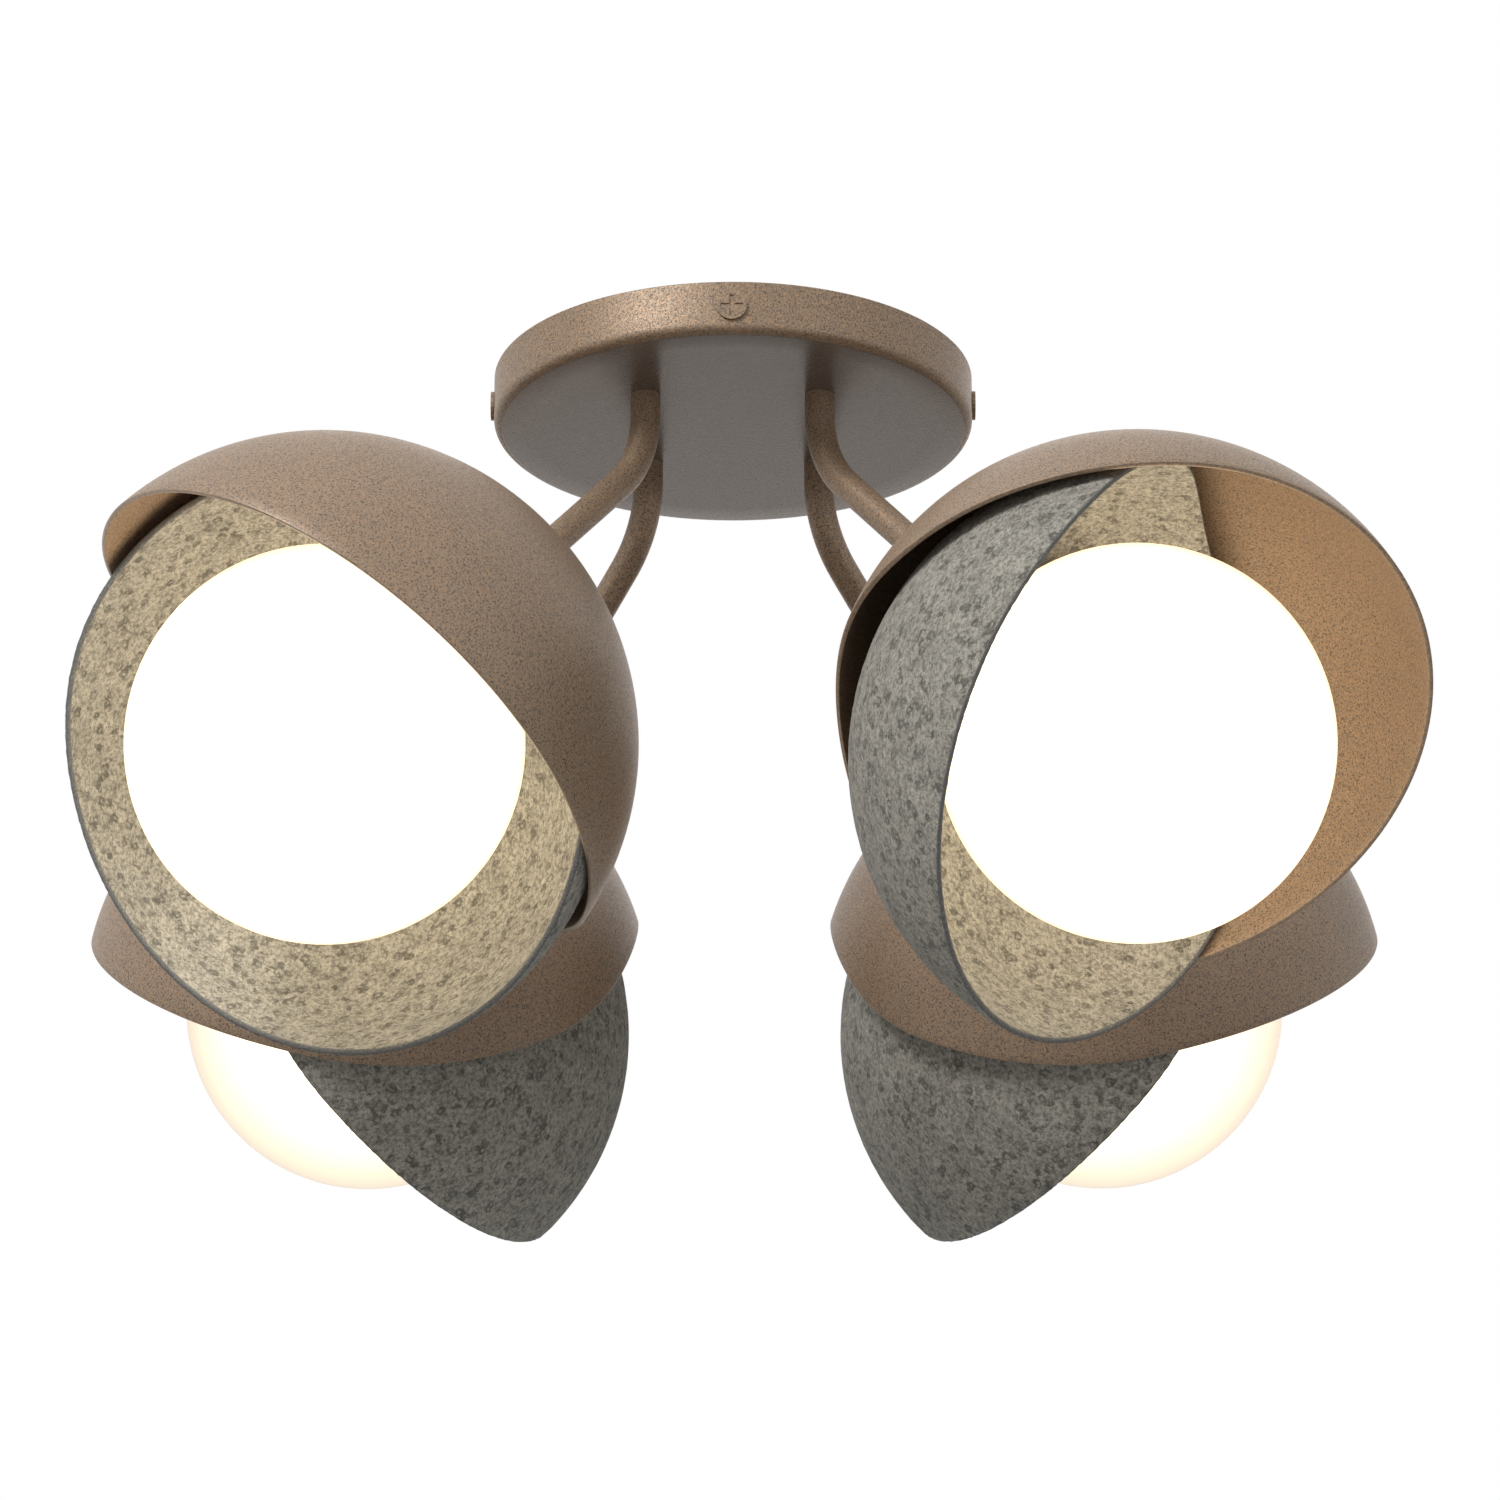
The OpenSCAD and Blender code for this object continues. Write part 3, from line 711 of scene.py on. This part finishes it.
class CEILINGLIGHT_OT_globes(bpy.types.Operator):
    """Spins the four glass globes with their necks"""
    bl_idname = "ceilinglight.globes"
    bl_label = "Globes"

    def execute(self, context):
        s = settings("globe")
        radius, neck = s.diameter / 2, s.neck / 2
        inside, bore = radius - s.glass, neck - s.glass
        join = -math.acos(neck / radius)
        inner_join = -math.acos(bore / inside)
        end = -math.sqrt(radius ** 2 - neck ** 2) - s.neck_length
        points = arc(radius, math.pi / 2, join, 64)
        points += line(points[-1], (neck, end), 4) + [(neck, end), (bore, end)]
        inner = arc(inside, inner_join, math.pi / 2, 48)
        points += line((bore, end), inner[0], 4) + inner
        for head in HEADS:
            bm = bmesh.new()
            spin_outline(bm, points, GLOBE_ROUND, closed=False)
            bmesh.ops.transform(bm, matrix=head_frame(head), verts=bm.verts)
            # The back globes take the darker copy of the glass, which is painted shade
            glass = "opal_glass" if head.startswith("front") else "opal_glass_far"
            finish_piece(bm, "glass_globe_" + head, "globe_" + head, "root",
                         [materials()[glass]])
        return {"FINISHED"}


class CEILINGLIGHT_OT_fittings(bpy.types.Operator):
    """Gives every solid that stays as it is its finish"""
    bl_idname = "ceilinglight.fittings"
    bl_label = "Fittings"

    def execute(self, context):
        made = materials()
        # Only the canopy's floor, which is part of its own piece, has the bronze darkened as painted shade
        made["bronze_smooth"] = made["bronze_speckled"]
        for part in frame["record"]["subparts"]:
            solid = frame["nodes"][part["node"]]
            solid.data.materials.clear()
            solid.data.materials.append(made[part["material_slot"]])
        return {"FINISHED"}


class CEILINGLIGHT_OT_stage(bpy.types.Operator):
    """Sets the camera, the floor and the soft studio light"""
    bl_idname = "ceilinglight.stage"
    bl_label = "Stage"

    def execute(self, context):
        s = settings("stage")
        scene = context.scene
        data = bpy.data.cameras.new("camera")
        data.lens = s.lens
        data.sensor_width = 36
        data.clip_end = 100
        camera = bpy.data.objects.new("camera", data)
        camera.location = s.camera
        camera.rotation_euler = (math.pi / 2 + s.pitch, 0, s.yaw)
        scene.collection.objects.link(camera)
        scene.camera = camera
        self.floor()
        self.world(scene, s.ambient)
        for lamp in LAMPS:
            self.lamp(*lamp)
        scene.view_settings.view_transform = "Standard"
        return {"FINISHED"}

    def floor(self):
        """A pale floor that keeps its shadow and looks white to the camera."""
        bm = bmesh.new()
        bmesh.ops.create_grid(bm, x_segments=1, y_segments=1, size=FLOOR_HALF,
                              matrix=Matrix.Translation((0, 0, FLOOR_LEVEL)))
        mesh = bpy.data.meshes.new("floor")
        bm.to_mesh(mesh)
        bm.free()
        floor = bpy.data.objects.new("floor", mesh)
        n = Nodes("pale_floor")
        n.connect(Base_Color=n.mix(n.noise(2.0), (0.86, 0.86, 0.85), (0.9, 0.9, 0.89)))
        path = n.add("ShaderNodeLightPath").outputs
        seen = n.math("MAXIMUM", path["Is Camera Ray"], path["Is Transmission Ray"])
        n.connect(Emission_Strength=n.math("MULTIPLY", seen, FLOOR_GLOW))
        n.set(Roughness=0.9, Emission_Color=(1, 1, 1, 1))
        mesh.materials.append(n.material)
        bpy.context.scene.collection.objects.link(floor)

    def world(self, scene, ambient):
        """White where it is seen straight or mirrored, and a plain soft light elsewhere."""
        world = bpy.data.worlds.new("studio")
        scene.world = world
        world.use_nodes = True
        tree = world.node_tree
        soft = tree.nodes["Background"]
        soft.inputs["Color"].default_value = (1, 1, 1, 1)
        soft.inputs["Strength"].default_value = ambient
        white = tree.nodes.new("ShaderNodeBackground")
        white.inputs["Color"].default_value = (1, 1, 1, 1)
        path = tree.nodes.new("ShaderNodeLightPath")
        seen = path.outputs["Is Camera Ray"]
        for ray in ("Is Glossy Ray", "Is Transmission Ray"):
            either = tree.nodes.new("ShaderNodeMath")
            either.operation = "MAXIMUM"
            tree.links.new(seen, either.inputs[0])
            tree.links.new(path.outputs[ray], either.inputs[1])
            seen = either.outputs[0]
        mixed = tree.nodes.new("ShaderNodeMixShader")
        tree.links.new(seen, mixed.inputs[0])
        tree.links.new(soft.outputs[0], mixed.inputs[1])
        tree.links.new(white.outputs[0], mixed.inputs[2])
        tree.links.new(mixed.outputs[0], tree.nodes["World Output"].inputs["Surface"])

    def lamp(self, name, where, size, power):
        data = bpy.data.lights.new(name, "AREA")
        data.shape = "DISK"
        data.size = size
        data.energy = power
        lamp = bpy.data.objects.new(name, data)
        lamp.location = where
        aim = LAMP_AIM - lamp.location
        lamp.rotation_euler = aim.to_track_quat("-Z", "Y").to_euler()
        bpy.context.scene.collection.objects.link(lamp)


class CEILINGLIGHT_PT_panel(bpy.types.Panel):
    """Lists the ceiling light's operators and sizes"""
    bl_label = "Ceiling Light"
    bl_idname = "CEILINGLIGHT_PT_panel"
    bl_space_type = "VIEW_3D"
    bl_region_type = "UI"
    bl_category = "Ceiling Light"

    def draw(self, context):
        for operator in OPERATORS:
            self.layout.operator(operator.bl_idname)
        for name, group in GROUPS.items():
            box = self.layout.box()
            box.label(text=name.capitalize())
            for key in group.__annotations__:
                box.prop(settings(name), key)


GROUPS = {
    "canopy": CanopySettings,
    "arms": ArmSettings,
    "bowl": BowlSettings,
    "globe": GlobeSettings,
    "finish": FinishSettings,
    "stage": StageSettings,
}
OPERATORS = (
    CEILINGLIGHT_OT_stage,
    CEILINGLIGHT_OT_fittings,
    CEILINGLIGHT_OT_canopy,
    CEILINGLIGHT_OT_arms,
    CEILINGLIGHT_OT_metal_bowls,
    CEILINGLIGHT_OT_felt_bowls,
    CEILINGLIGHT_OT_globes,
)


def register():
    for name, group in GROUPS.items():
        bpy.utils.register_class(group)
        setattr(bpy.types.Scene, "ceiling_light_" + name, bpy.props.PointerProperty(type=group))
    for cls in (*OPERATORS, CEILINGLIGHT_PT_panel):
        bpy.utils.register_class(cls)


def unregister():
    for cls in (CEILINGLIGHT_PT_panel, *reversed(OPERATORS)):
        bpy.utils.unregister_class(cls)
    for name, group in GROUPS.items():
        delattr(bpy.types.Scene, "ceiling_light_" + name)
        bpy.utils.unregister_class(group)


def main():
    register()
    for operator in OPERATORS:
        group, name = operator.bl_idname.split(".")
        getattr(getattr(bpy.ops, group), name)()


if __name__ == "__main__":
    main()
